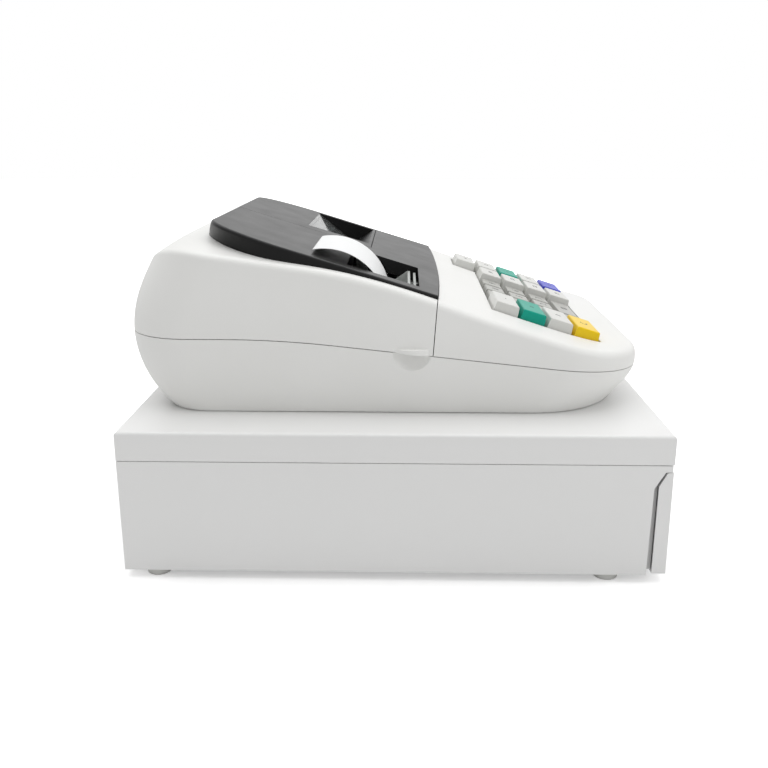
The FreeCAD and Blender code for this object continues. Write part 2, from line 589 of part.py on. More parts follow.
front_profile = [(front_face, drawer_base), (panel_back, drawer_base), (panel_back, bevel_low),
                 (panel_back - 4.4, bevel_top - 0.6), (front_face + 0.5, bevel_top - 0.2)]
front = profile_along_x(front_profile, -CASE_HALF + 0.3, CASE_HALF - 0.3)
fold = GAUGE + 0.3
front_room = [(front_face + fold, drawer_base + fold), (panel_back + 1, drawer_base + fold),
              (panel_back + 1, bevel_low - fold), (panel_back - 4.4 - fold, bevel_top - 0.6 - 2 * fold),
              (front_face + fold, bevel_top - 2 * fold)]
front = front.cut(profile_along_x(front_room, -CASE_HALF + 0.3 + GAUGE, CASE_HALF - 0.3 - GAUGE))
lock_z = size("lock_height")
lock_radius = size("lock_radius")
front = front.fuse(rod(lock_radius + 3, Vector(0, front_face + 0.5, lock_z), Vector(0, 1, 0),
                       size("front_thickness") - 0.5))
front = front.cut(rod(lock_radius + 0.08, Vector(0, front_face - 2, lock_z), Vector(0, 1, 0), 40))
keep("drawer_front", front.removeSplitter())

lock = rod(lock_radius, Vector(0, front_face + 0.2, lock_z), Vector(0, 1, 0), size("front_thickness") - 0.4)
lock = lock.cut(block(-0.9, 0.9, front_face - 1, front_face + 4.2, lock_z - 3.6, lock_z + 3.6))
keep("lock_cylinder", lock)

tray_wall = size("tray_wall")
tray_half = tub_half - GAUGE - 0.5
tray_front, tray_rear = panel_back + GAUGE + 0.6, tub_rear - GAUGE - 0.6
tray_floor = tub_floor + GAUGE
tray_top = tray_floor + size("tray_height")
tray = block(-tray_half, tray_half, tray_front, tray_rear, tray_floor, tray_top)
cups = int(size("coin_cups"))
bays = int(size("note_bays"))
cup_width = (2 * tray_half - tray_wall * (cups + 1)) / cups
bay_width = (2 * tray_half - tray_wall * (bays + 1)) / bays
cup_rear = tray_front + tray_wall + size("coin_length")
cup_mid = (tray_front + tray_wall + cup_rear) / 2
cup_half = size("coin_length") / 2
sag = size("tray_height") - tray_wall - 4
cup_radius = (cup_half ** 2 + sag ** 2) / (2 * sag)
for index in range(cups):
    x = -tray_half + tray_wall + index * (cup_width + tray_wall)
    cup = rod(cup_radius, Vector(x, cup_mid, tray_floor + tray_wall + cup_radius), Vector(1, 0, 0), cup_width)
    cup = cup.common(block(-200, 200, tray_front + tray_wall, cup_rear, 0, tray_top + 1))
    tray = tray.cut(cup)
bay_front = cup_rear + tray_wall
for index in range(bays):
    x = -tray_half + tray_wall + index * (bay_width + tray_wall)
    tray = tray.cut(block(x, x + bay_width, bay_front, tray_rear - tray_wall, tray_floor + tray_wall, tray_top + 1))
keep("coin_tray", tray)

pin_y, pin_z = tray_rear - tray_wall - 6, tray_top - 5
clip_pin = size("clip_pin")
for index in range(bays):
    x = -tray_half + tray_wall + index * (bay_width + tray_wall)
    middle = x + bay_width / 2
    pin = rod(clip_pin, Vector(x + 0.15, pin_y, pin_z), Vector(1, 0, 0), bay_width - 0.3)
    arm = block(middle - 19, middle + 19, pin_y - size("clip_reach") + 4, pin_y, pin_z - 0.8, pin_z + 0.8)
    tip = rod(2.4, Vector(middle - 19, pin_y - size("clip_reach") + 3, pin_z + 0.2), Vector(1, 0, 0), 38)
    keep("note_clip_%d" % (index + 1), pin.fuse(arm).fuse(tip).removeSplitter())

# Printer under its cover: frame, rollers, paper and the guide that shows in the slot
paper_half = size("paper_width") / 2
paper_mid = -(size("slot_left") + size("slot_right")) / 2
curl_y = size("paper_line") + size("curl_radius")
curl_z = size("curl_top") - size("curl_radius")
platen_radius = size("platen_radius")
platen_y = size("paper_line") + size("paper_gauge") / 2 + platen_radius + 0.35
platen_z = curl_z - 10
roll_y, roll_z = size("roll_back"), size("roll_height")
left_plate, right_plate = paper_mid - paper_half - 5, paper_mid + paper_half + 5
plates = []
for x in (left_plate - 2.4, right_plate):
    plate_profile = [(-16, LID_TOP + WALL), (roll_y + 16, LID_TOP + WALL), (roll_y + 16, roll_z + 8),
                     (roll_y - 14, roll_z + 8), (40, 150), (28, 160), (-16, 160)]
    plates.append(profile_along_x(plate_profile, x, x + 2.4))
frame_base = block(left_plate - 2.4, right_plate + 2.4, -16, roll_y + 16, LID_TOP + WALL, LID_TOP + WALL + 2)
head = block(left_plate, right_plate, -15, size("paper_line") - 0.8, platen_z - 9, platen_z + 7)
ribbon = (-6.0, platen_z + 11.2)
axles = [(platen_y, platen_z, 3.0), (ribbon[0], ribbon[1], 1.6), (roll_y, roll_z, 4.0)]
printer_frame = plates[0].fuse(plates[1]).fuse(frame_base).fuse(head)
for y, z, radius in axles:
    printer_frame = printer_frame.cut(rod(radius + 0.08, Vector(left_plate - 5, y, z), Vector(1, 0, 0), right_plate - left_plate + 10))
keep("printer_frame", printer_frame.removeSplitter())


def roller(label, radius, y, z, axle, side_gap):
    barrel = rod(radius, Vector(left_plate + side_gap, y, z), Vector(1, 0, 0), right_plate - left_plate - 2 * side_gap)
    axle_rod = rod(axle, Vector(left_plate - 2.4, y, z), Vector(1, 0, 0), right_plate - left_plate + 4.8)
    return barrel.fuse(axle_rod).removeSplitter()


keep("platen_roller", roller("platen_roller", platen_radius, platen_y, platen_z, 3.0, 0.6))
keep("ink_roller", roller("ink_roller", 3.2, ribbon[0], ribbon[1], 1.6, 2.0))
keep("roll_spindle", rod(4.0, Vector(left_plate - 2.4, roll_y, roll_z), Vector(1, 0, 0), right_plate - left_plate + 4.8))
roll_bore = rod(4.1, Vector(-200, roll_y, roll_z), Vector(1, 0, 0), 400)
roll = rod(size("roll_radius"), Vector(paper_mid - paper_half, roll_y, roll_z), Vector(1, 0, 0), 2 * paper_half)
keep("paper_roll", roll.cut(roll_bore))


px = paper_mid - paper_half
line_y = size("paper_line")
gauge_half = size("paper_gauge") / 2


def arc_band(cy, cz, radius, start, end):
    """Part of a thin ring in the YZ plane, from one angle to another (degrees from +Y)."""
    def spot(r, angle):
        return Vector(px, cy + r * math.cos(math.radians(angle)), cz + r * math.sin(math.radians(angle)))
    mid = (start + end) / 2
    edges = [Part.Arc(spot(radius + gauge_half, start), spot(radius + gauge_half, mid), spot(radius + gauge_half, end)).toShape(),
             Part.LineSegment(spot(radius + gauge_half, end), spot(radius - gauge_half, end)).toShape(),
             Part.Arc(spot(radius - gauge_half, end), spot(radius - gauge_half, mid), spot(radius - gauge_half, start)).toShape(),
             Part.LineSegment(spot(radius - gauge_half, start), spot(radius + gauge_half, start)).toShape()]
    return Part.Face(Part.Wire(edges)).extrude(Vector(2 * paper_half, 0, 0))


web_top = platen_z + 2
curl = arc_band(curl_y, curl_z, size("curl_radius"), 180 - size("curl_turn"), 180)
rise = block(px, px + 2 * paper_half, line_y - gauge_half, line_y + gauge_half, web_top + 0.3, curl_z)
keep("receipt_paper", curl.fuse(rise).removeSplitter())
wrap = platen_radius + 0.35 + gauge_half
reach = math.hypot(roll_y - platen_y, roll_z - platen_z)
lean = math.degrees(math.atan2(roll_z - platen_z, roll_y - platen_y))
tangent = lean - 90 - math.degrees(math.asin((size("roll_radius") + 0.35 + gauge_half - wrap) / reach))
hug = arc_band(platen_y, platen_z, wrap, 180, 360 + tangent)
climb = block(px, px + 2 * paper_half, line_y - gauge_half, line_y + gauge_half, platen_z, web_top)
unit = (math.cos(math.radians(tangent)), math.sin(math.radians(tangent)))
outer_reach = size("roll_radius") + 0.35 + gauge_half
leave = (platen_y + wrap * unit[0], platen_z + wrap * unit[1])
arrive = (roll_y + outer_reach * unit[0], roll_z + outer_reach * unit[1])
run_profile = [(leave[0] - gauge_half * unit[0], leave[1] - gauge_half * unit[1]),
               (arrive[0] - gauge_half * unit[0], arrive[1] - gauge_half * unit[1]),
               (arrive[0] + gauge_half * unit[0], arrive[1] + gauge_half * unit[1]),
               (leave[0] + gauge_half * unit[0], leave[1] + gauge_half * unit[1])]
straight = profile_along_x(run_profile, px, px + 2 * paper_half)
keep("paper_web", hug.fuse(climb).fuse(straight).removeSplitter())

deck_gap = 3.5
shelf = 160
left, right = -size("slot_left") + 3, -size("slot_right") - 3
guide = block(left_plate - 2.4, right_plate + 2.4, -15.5, -8.4, shelf, shelf + 1.5)
for y in (-15.2, -11.4):
    comb_top = dark_level(y) - deck_gap
    guide = guide.fuse(profile_along_x([(y, shelf), (y + 1.6, shelf), (y + 1.6, comb_top), (y, comb_top)], left, right))
for x in (left, right - 1.6):
    cheek = [(-10, shelf), (1.5, shelf), (1.5, shelf + 2), (-10, dark_level(-10) - deck_gap)]
    guide = guide.fuse(profile_along_x(cheek, x, x + 1.6))
rear_bar = block(left_plate - 2.4, right_plate + 2.4, 24, 26.6, shelf, shelf + 2)
rear_top = dark_level(26) - deck_gap
rear_cheek = [(26.6, shelf), (26.6, rear_top), (25.4, rear_top), (17.0, shelf + 8), (17.0, shelf + 5), (24, shelf)]
for x in (-size("slot_left") + 0.3, -size("slot_right") - 1.8):
    rear_bar = rear_bar.fuse(profile_along_x(rear_cheek, x, x + 1.5))
keep("paper_guide", Part.makeCompound([guide.removeSplitter(), rear_bar.removeSplitter()]))

# Inside the lower case, and where the supply enters
board = block(-60, 105, -70, -25, LID_TOP + WALL + 4, LID_TOP + WALL + 5.6)
for x in (-54, 99):
    for y in (-64, -31):
        board = board.fuse(rod(2.5, Vector(x, y, LID_TOP + WALL), Vector(0, 0, 1), 4))
keep("main_board", board.removeSplitter())
core = block(30, 80, 60, 105, LID_TOP + WALL, LID_TOP + WALL + 36)
coil = block(24, 86, 68, 97, LID_TOP + WALL + 8, LID_TOP + WALL + 28)
keep("transformer", core.fuse(coil).removeSplitter())

gland = rod(6.0, Vector(inlet_x, inlet_face - 16, inlet_z), Vector(0, 1, 0), 16)
gland = gland.fuse(rod(flange_radius, Vector(inlet_x, inlet_face, inlet_z), Vector(0, 1, 0), 3.5))
gland = gland.cut(rod(3.2, Vector(inlet_x, inlet_face - 20, inlet_z), Vector(0, 1, 0), 28))
keep("cord_gland", gland)


# Every object is checked before anything is written

def check():
    doc.recompute()
    for feature in doc.Objects:
        if "Invalid" in feature.State or "Error" in feature.State:
            raise RuntimeError("failed object: " + feature.Label)
    for feature in NODES:
        shape = feature.Shape
        if shape.isNull() or not shape.isValid() or not shape.Solids:
            raise RuntimeError("bad shape: " + feature.Label)


check()
for feature in NODES:
    feature.Shape.exportStep("parts/%s.step" % feature.Label)
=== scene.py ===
# %% [markdown]
# # A compact cash register
# This lesson dresses a shop register: a square steel drawer case under a rounded plastic body, with a
# sloping keyboard, a dark cover and a curl of receipt paper. The load-bearing shapes come from the
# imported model, in metres, so every new piece goes where that model says.

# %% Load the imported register
import math
import bmesh
import bpy
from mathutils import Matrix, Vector


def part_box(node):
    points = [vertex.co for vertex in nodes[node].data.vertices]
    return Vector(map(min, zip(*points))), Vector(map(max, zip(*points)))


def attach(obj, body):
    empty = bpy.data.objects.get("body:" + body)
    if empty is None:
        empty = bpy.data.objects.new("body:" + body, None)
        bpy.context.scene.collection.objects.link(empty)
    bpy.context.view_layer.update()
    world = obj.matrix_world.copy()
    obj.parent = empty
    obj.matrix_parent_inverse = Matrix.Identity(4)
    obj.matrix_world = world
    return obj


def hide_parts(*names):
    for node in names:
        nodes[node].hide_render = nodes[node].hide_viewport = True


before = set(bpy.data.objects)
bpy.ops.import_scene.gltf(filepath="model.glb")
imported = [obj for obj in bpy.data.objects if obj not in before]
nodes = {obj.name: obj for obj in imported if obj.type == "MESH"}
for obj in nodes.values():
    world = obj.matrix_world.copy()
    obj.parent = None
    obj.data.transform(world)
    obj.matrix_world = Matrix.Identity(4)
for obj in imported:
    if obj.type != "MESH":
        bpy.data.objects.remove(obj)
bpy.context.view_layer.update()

MM = 0.001

# %% [markdown]
# The photograph looks at the register's left side from a little above the lid. The camera stands where
# the edges of the square case meet their vanishing points, and it turns only a little towards the rear.

# %% Stand the camera
CAMERA_PLACE = (-656.8 * MM, -7.5 * MM, 267.7 * MM)
CAMERA_DOWN = math.radians(16.15)
CAMERA_YAW = math.radians(1.31)
SENSOR_MM = 36.0
LENS_MM = 41.83

bpy.ops.object.camera_add(location=CAMERA_PLACE,
                          rotation=(math.pi / 2 - CAMERA_DOWN, 0, CAMERA_YAW - math.pi / 2))
camera = bpy.context.object
camera.data.sensor_width = SENSOR_MM
camera.data.lens = LENS_MM
camera.data.clip_start = 0.01
bpy.context.scene.camera = camera
bpy.context.scene.view_settings.view_transform = "Standard"

# %% [markdown]
# A product shot on white has light from every side. A pale world gives the even part, and one broad
# lamp overhead makes the tops brighter than the sides. The camera, and any shine, sees the white walls
# of the studio.

# %% Light the studio
WORLD_LEVEL = 0.46
world = bpy.data.worlds.new("studio")
world.use_nodes = True
bpy.context.scene.world = world


def add_node(tree, kind, settings=None, links=None):
    """Adds a node, sets its values by name, and links its inputs from other sockets."""
    node = tree.nodes.new(kind)
    for name, value in (settings or {}).items():
        if isinstance(name, int) or name in node.inputs.keys():
            node.inputs[name].default_value = value
        else:
            setattr(node, name, value)
    for name, socket in (links or {}).items():
        tree.links.new(socket, node.inputs[name])
    return node


sky = world.node_tree
sky.nodes.clear()
seen = add_node(sky, "ShaderNodeLightPath")
bright = add_node(sky, "ShaderNodeBackground", {"Color": (1, 1, 1, 1), "Strength": 1.0})
even = add_node(sky, "ShaderNodeBackground", {"Color": (1, 1, 1, 1), "Strength": WORLD_LEVEL})
shine = add_node(sky, "ShaderNodeMath", {"operation": "MAXIMUM"},
                 {0: seen.outputs["Is Glossy Ray"], 1: seen.outputs["Is Transmission Ray"]})
direct = add_node(sky, "ShaderNodeMath", {"operation": "MAXIMUM"},
                  {0: seen.outputs["Is Camera Ray"], 1: shine.outputs[0]})
choice = add_node(sky, "ShaderNodeMixShader", links={0: direct.outputs[0],
                                                     1: even.outputs[0], 2: bright.outputs[0]})
add_node(sky, "ShaderNodeOutputWorld", links={"Surface": choice.outputs[0]})


def studio_lamp(name, place, aim, width, height, watts):
    """A soft rectangular lamp that faces a point."""
    direction = Vector(aim) - Vector(place)
    turn = direction.to_track_quat("-Z", "Y").to_euler()
    bpy.ops.object.light_add(type="AREA", location=place, rotation=turn)
    lamp = bpy.context.object
    lamp.name = name
    lamp.data.shape = "RECTANGLE"
    lamp.data.size = width
    lamp.data.size_y = height
    lamp.data.energy = watts


REGISTER_MIDDLE = (0.0, 0.0, 0.1)
studio_lamp("overhead", (0.15, 0.1, 1.6), REGISTER_MIDDLE, width=1.8, height=1.8, watts=17)
studio_lamp("front", (-0.5, -1.4, 0.9), REGISTER_MIDDLE, width=1.2, height=0.8, watts=4)

# %% [markdown]
# Colours are written as sRGB hex values, as a paint chart gives them, and one function turns them to
# the linear values that the renderer works with.

# %% Colour from a paint chart
def linear(code, alpha=1.0):
    """sRGB hex to linear RGBA."""
    channels = [int(code[i:i + 2], 16) / 255 for i in (1, 3, 5)]
    return tuple(c / 12.92 if c <= 0.04045 else ((c + 0.055) / 1.055) ** 2.4 for c in channels) + (alpha,)


def new_finish(name):
    """An empty material with its shader and object coordinates."""
    material = bpy.data.materials.new(name)
    material.use_nodes = True
    tree = material.node_tree
    tree.nodes.clear()
    shader = add_node(tree, "ShaderNodeBsdfPrincipled")
    add_node(tree, "ShaderNodeOutputMaterial", links={"Surface": shader.outputs[0]})
    place = add_node(tree, "ShaderNodeTexCoord")
    return material, tree, shader, place.outputs["Object"]


def two_tone(tree, shader, factor, low_shade, shade):
    """Colours the shader from one shade to another, as a pattern says."""
    tone = add_node(tree, "ShaderNodeMix", {"data_type": "RGBA"}, {0: factor})
    tone.inputs[6].default_value = linear(low_shade)
    tone.inputs[7].default_value = linear(shade)
    tree.links.new(tone.outputs[2], shader.inputs["Base Color"])


def vary_gloss(tree, shader, pattern, smoothest, roughest):
    """Lets the roughness wander between two values, as a pattern says."""
    gloss = add_node(tree, "ShaderNodeMapRange", {"To Min": smoothest, "To Max": roughest},
                     {"Value": pattern})
    tree.links.new(gloss.outputs["Result"], shader.inputs["Roughness"])


def raise_skin(tree, shader, pattern, strength, depth_mm):
    """Raises the surface by a pattern, with a real depth."""
    bump = add_node(tree, "ShaderNodeBump", {"Strength": strength, "Distance": depth_mm * MM},
                    {"Height": pattern})
    tree.links.new(bump.outputs["Normal"], shader.inputs["Normal"])


# %% [markdown]
# Injection-moulded ABS takes its skin from the tool: a fine spark-eroded grain about a quarter of a
# millimetre across, a satin gloss, and slow changes of tone where the melt flowed. The grain is drawn
# twice as coarse as it is, because at this distance the real one would vanish.

# %% Moulded ABS for the shells and the key caps
FLOW_MM = 60
RUB_MM = 18
ABS_IOR = 1.53


def moulded_abs(name, shade, low_shade, roughness, grain_mm=0.5, depth_mm=0.02, facing_shine=1.0):
    """ABS with a moulded grain. facing_shine under 1 dims what it reflects when seen square on."""
    material, tree, shader, place = new_finish(name)
    flow = add_node(tree, "ShaderNodeTexNoise", {"Scale": 1 / (FLOW_MM * MM), "Detail": 3.0},
                    {"Vector": place})
    two_tone(tree, shader, flow.outputs["Fac"], low_shade, shade)
    grain = add_node(tree, "ShaderNodeTexNoise",
                     {"Scale": 1 / (grain_mm * MM), "Detail": 2.0, "Roughness": 0.6}, {"Vector": place})
    raise_skin(tree, shader, grain.outputs["Fac"], 0.5, depth_mm)
    rub = add_node(tree, "ShaderNodeTexNoise", {"Scale": 1 / (RUB_MM * MM), "Detail": 4.0}, {"Vector": place})
    vary_gloss(tree, shader, rub.outputs["Fac"], roughness - 0.05, roughness + 0.07)
    shader.inputs["IOR"].default_value = ABS_IOR
    shader.inputs["Specular Tint"].default_value = (facing_shine, facing_shine, facing_shine, 1)
    return material


white_abs = moulded_abs("white moulded ABS", "#F1F1EF", "#ECECE9", 0.42)
dark_abs = moulded_abs("dark grey moulded ABS", "#1A1A1A", "#171717", 0.33, facing_shine=0.3)
inner_abs = moulded_abs("black moulded ABS", "#151516", "#121213", 0.55, depth_mm=0.03)
guide_abs = moulded_abs("grey moulded ABS", "#B4B7B4", "#AEB1AE", 0.45)
key_white = moulded_abs("white key ABS", "#DCDCD8", "#D7D7D3", 0.34, grain_mm=0.4)
key_grey = moulded_abs("grey key ABS", "#B6B6B1", "#B0B0AB", 0.34, grain_mm=0.4)
key_green = moulded_abs("sea-green key ABS", "#03A28C", "#029B85", 0.40, grain_mm=0.4, facing_shine=0.5)
key_yellow = moulded_abs("amber key ABS", "#F7D21C", "#F2CD19", 0.34, grain_mm=0.4, facing_shine=0.5)
key_blue = moulded_abs("violet-blue key ABS", "#444BC8", "#4047C1", 0.34, grain_mm=0.4, facing_shine=0.5)

# %% [markdown]
# The case is folded sheet steel under a baked powder coat. Powder flows out as it melts, but never
# quite flat: it keeps a shallow orange peel about a millimetre across, which breaks up reflections at a
# low angle.

# %% Powder-coated steel for the case
def powder_coated_steel(name, shade, low_shade):
    material, tree, shader, place = new_finish(name)
    cloud = add_node(tree, "ShaderNodeTexNoise", {"Scale": 1 / (120 * MM), "Detail": 2.0}, {"Vector": place})
    two_tone(tree, shader, cloud.outputs["Fac"], low_shade, shade)
    peel = add_node(tree, "ShaderNodeTexNoise", {"Scale": 1 / (1.1 * MM), "Detail": 1.0}, {"Vector": place})
    speck = add_node(tree, "ShaderNodeTexVoronoi", {"Scale": 1 / (0.6 * MM)}, {"Vector": place})
    height = add_node(tree, "ShaderNodeMath", {"operation": "ADD"},
                      {0: peel.outputs["Fac"], 1: speck.outputs["Distance"]})
    raise_skin(tree, shader, height.outputs[0], 0.4, 0.03)
    vary_gloss(tree, shader, cloud.outputs["Fac"], 0.30, 0.38)
    shader.inputs["IOR"].default_value = 1.5
    return material


case_paint = powder_coated_steel("white powder-coated steel", "#F0F0EF", "#ECECEB")

# %% [markdown]
# Drawer tub, runners, clips and screws are zinc-plated steel. Rolling leaves fine lines along the
# sheet, and the plating has a soft mottled sheen rather than a mirror.

# %% Zinc-plated steel
def zinc_plated_steel(name, shade, low_shade, roughness):
    material, tree, shader, place = new_finish(name)
    stretch = add_node(tree, "ShaderNodeMapping", {"Scale": (1 / (0.5 * MM), 1 / (30 * MM), 1 / (0.5 * MM))},
                       {"Vector": place})
    lines = add_node(tree, "ShaderNodeTexNoise", {"Scale": 1.0, "Detail": 3.0},
                     {"Vector": stretch.outputs[0]})
    spangle = add_node(tree, "ShaderNodeTexVoronoi", {"Scale": 1 / (7 * MM)}, {"Vector": place})
    two_tone(tree, shader, spangle.outputs["Distance"], low_shade, shade)
    vary_gloss(tree, shader, lines.outputs["Fac"], roughness - 0.06, roughness + 0.1)
    raise_skin(tree, shader, lines.outputs["Fac"], 0.25, 0.02)
    shader.inputs["Metallic"].default_value = 1.0
    return material


plated = zinc_plated_steel("zinc-plated steel", "#C9CBCB", "#B9BCBD", 0.34)
lock_steel = zinc_plated_steel("nickel-plated brass", "#C8C6BF", "#BDBBB4", 0.2)

# %% [markdown]
# Receipt paper is thermal stock: bright, very slightly blue-white, with a fibre mesh that only shows as
# a faint unevenness. It has no gloss to speak of.

# %% Thermal paper
def thermal_paper(name, shade, low_shade):
    material, tree, shader, place = new_finish(name)
    fibre = add_node(tree, "ShaderNodeTexNoise", {"Scale": 1 / (0.8 * MM), "Detail": 6.0, "Distortion": 1.5},
                     {"Vector": place})
    two_tone(tree, shader, fibre.outputs["Fac"], low_shade, shade)
    raise_skin(tree, shader, fibre.outputs["Fac"], 0.3, 0.02)
    shader.inputs["Roughness"].default_value = 0.7
    shader.inputs["IOR"].default_value = 1.45
    return material


paper = thermal_paper("thermal paper", "#F7F8F8", "#F0F1F1")

# %% [markdown]
# The feet are pale moulded rubber and the rollers are black rubber, ground true. Rubber is matt,
# because its skin is rough at a scale of hundredths of a millimetre, and it picks up dust in that skin.

# %% Moulded and ground rubber
def matt_rubber(name, shade, dusty_shade):
    material, tree, shader, place = new_finish(name)
    dust = add_node(tree, "ShaderNodeTexNoise", {"Scale": 1 / (3 * MM), "Detail": 5.0}, {"Vector": place})
    two_tone(tree, shader, dust.outputs["Fac"], shade, dusty_shade)
    skin = add_node(tree, "ShaderNodeTexNoise", {"Scale": 1 / (0.35 * MM), "Detail": 2.0}, {"Vector": place})
    raise_skin(tree, shader, skin.outputs["Fac"], 0.5, 0.03)
    shader.inputs["Roughness"].default_value = 0.78
    shader.inputs["IOR"].default_value = 1.52
    return material


foot_rubber = matt_rubber("pale moulded rubber", "#D9D9D6", "#CFCFCB")
roller_rubber = matt_rubber("black ground rubber", "#1B1B1C", "#2A2A2A")

# %% [markdown]
# The display sits behind a pane of clear acrylic with a faint grey tint. Acrylic bends light at an
# index of 1.49, and its moulded face is smooth, with a trace of waviness that makes the reflection
# swim.

# %% Tinted acrylic for the display window
def tinted_acrylic(name, shade):
    material, tree, shader, place = new_finish(name)
    swim = add_node(tree, "ShaderNodeTexNoise", {"Scale": 1 / (25 * MM), "Detail": 1.0}, {"Vector": place})
    raise_skin(tree, shader, swim.outputs["Fac"], 0.15, 0.2)
    shader.inputs["Base Color"].default_value = linear(shade)
    shader.inputs["Roughness"].default_value = 0.06
    shader.inputs["IOR"].default_value = 1.49
    shader.inputs["Transmission Weight"].default_value = 0.9
    return material


acrylic = tinted_acrylic("grey tinted acrylic", "#D2D5D4")

# %% [markdown]
# A circuit board is glass laminate under green solder resist. The copper beneath shows as slightly
# lighter tracks, here a square lattice at a tenth-inch pitch, as on a through-hole board.

# %% Solder resist for the boards
HOLE_PITCH_MM = 2.54


def solder_resist(name, shade, track_shade):
    material, tree, shader, place = new_finish(name)
    tracks = add_node(tree, "ShaderNodeTexBrick",
                      {"Scale": 1 / (2 * HOLE_PITCH_MM * MM), "Mortar Size": 0.08, "Color1": linear(shade),
                       "Color2": linear(shade), "Mortar": linear(track_shade)}, {"Vector": place})
    raise_skin(tree, shader, tracks.outputs["Fac"], 0.3, 0.04)
    shader.inputs["Roughness"].default_value = 0.3
    shader.inputs["IOR"].default_value = 1.55
    tree.links.new(tracks.outputs["Color"], shader.inputs["Base Color"])
    return material


board_green = solder_resist("green solder resist", "#1F6B3C", "#2E8250")
display_glass = moulded_abs("dark display glass", "#0D1113", "#0A0E10", 0.25, depth_mm=0.0,
                            facing_shine=0.2)

# %% [markdown]
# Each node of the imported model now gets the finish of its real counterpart. The key colours follow the
# photograph: grey numbers, two green keys, an amber clear key and a violet-blue total key.

# %% Hand out the finishes
FINISH = {
    "drawer_case": case_paint, "case_lid": case_paint, "drawer_front": case_paint,
    "lower_case": white_abs, "keyboard_housing": white_abs,
    "printer_cover_shell": white_abs, "display_cover_shell": white_abs,
    "printer_cover_panel": dark_abs, "display_cover_panel": dark_abs,
    "display_window": acrylic, "display_module": display_glass,
    "key_bed": inner_abs, "coin_tray": inner_abs, "printer_frame": inner_abs, "cord_gland": inner_abs,
    "paper_guide": guide_abs, "paper_roll": paper, "paper_web": paper, "receipt_paper": paper,
    "platen_roller": roller_rubber, "ink_roller": roller_rubber, "rubber_feet": foot_rubber,
    "main_board": board_green, "lock_cylinder": lock_steel,
}
KEY_FINISH = {"key_multiply": key_green, "key_tax": key_green, "key_clear": key_yellow, "key_total": key_blue}
GREY_KEYS = ["zero", "double_zero", "one", "two", "three", "four", "five", "six", "seven", "eight", "nine"]
for name in GREY_KEYS:
    KEY_FINISH["key_" + name] = key_grey

for name, node in nodes.items():
    finish = FINISH.get(name, plated)
    if name.startswith("key_") and name != "key_bed":
        finish = KEY_FINISH.get(name, key_white)
    node.data.materials.clear()
    node.data.materials.append(finish)
print("finishes on", len(nodes), "nodes")

# %% [markdown]
# Moulded panels never meet with knife edges. The two dark covers get a small round along every edge,
# which opens the joint between them into a groove that the eye can follow.

# %% Soften the edges of the dark covers
EDGE_ROUND = 0.45 * MM
SAME_POINT = 0.001 * MM
SHARP = math.radians(50)
for name in ("printer_cover_panel", "display_cover_panel"):
    weld = nodes[name].modifiers.new("weld", "WELD")
    weld.merge_threshold = SAME_POINT
    softening = nodes[name].modifiers.new("softening", "BEVEL")
    softening.width = EDGE_ROUND
    softening.segments = 2
    softening.limit_method = "ANGLE"
    softening.angle_limit = SHARP
    print(name, "has softened edges")

# %% [markdown]
# The floor is a wide sweep of white paper. To the camera it adds light of its own, little beside the
# register, where it has to hold a soft shadow, and more farther out, so that it runs into the white
# with no horizon.

# %% Lay the paper sweep
SHADOW_REACH = 200 * MM
WHITE_REACH = 330 * MM
NEAR_GLOW = 0.32


def sweep_paper():
    material, tree, shader, place = new_finish("studio paper")
    shader.inputs["Base Color"].default_value = linear("#F8F8F8")
    shader.inputs["Roughness"].default_value = 0.9
    glow = add_node(tree, "ShaderNodeEmission", {"Color": (1, 1, 1, 1)})
    path = add_node(tree, "ShaderNodeLightPath")
    distance = add_node(tree, "ShaderNodeVectorMath", {"operation": "LENGTH"}, {0: place})
    fade = add_node(tree, "ShaderNodeMapRange", {"interpolation_type": "SMOOTHSTEP", "From Min": SHADOW_REACH,
                                                 "From Max": WHITE_REACH, "To Min": NEAR_GLOW, "To Max": 1.0},
                    {"Value": distance.outputs["Value"]})
    extra = add_node(tree, "ShaderNodeMath", {"operation": "MULTIPLY"},
                     {0: path.outputs["Is Camera Ray"], 1: fade.outputs["Result"]})
    tree.links.new(extra.outputs[0], glow.inputs["Strength"])
    both = add_node(tree, "ShaderNodeAddShader", links={0: shader.outputs[0], 1: glow.outputs[0]})
    tree.links.new(both.outputs[0], tree.nodes["Material Output"].inputs["Surface"])
    return material


FLOOR_HALF = 4.0
bpy.ops.mesh.primitive_plane_add(size=2 * FLOOR_HALF, location=(0, 0, 0))
floor = bpy.context.object
floor.name = "floor"
floor.data.materials.append(sweep_paper())

# %% [markdown]
# New pieces are finished the same way: their normals face out, their place is applied, and they get a
# finish and a body to ride on, and an imported node that a piece stands for is hidden.

# %% A helper that finishes a piece
SMOOTH_UNDER = math.radians(35)


def take_up(piece):
    """Makes a piece the only one selected, and the active one."""
    bpy.ops.object.select_all(action="DESELECT")
    piece.select_set(True)
    bpy.context.view_layer.objects.active = piece


def finish_piece(piece, name, finish, body, stands_for=None):
    """Closes the work on a piece: normals, place, finish, body and hiding the node that it replaces."""
    take_up(piece)
    bpy.ops.object.transform_apply(location=True, rotation=True, scale=True)
    bpy.ops.object.mode_set(mode="EDIT")
    bpy.ops.mesh.select_all(action="SELECT")
    bpy.ops.mesh.normals_make_consistent(inside=False)
    bpy.ops.object.mode_set(mode="OBJECT")
    bpy.ops.object.shade_smooth_by_angle(angle=SMOOTH_UNDER)
    piece.name = name
    piece.data.materials.clear()
    piece.data.materials.append(finish)
    if stands_for:
        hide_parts(stands_for)
    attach(piece, body)
    print(name, "has", len(piece.data.polygons), "faces")


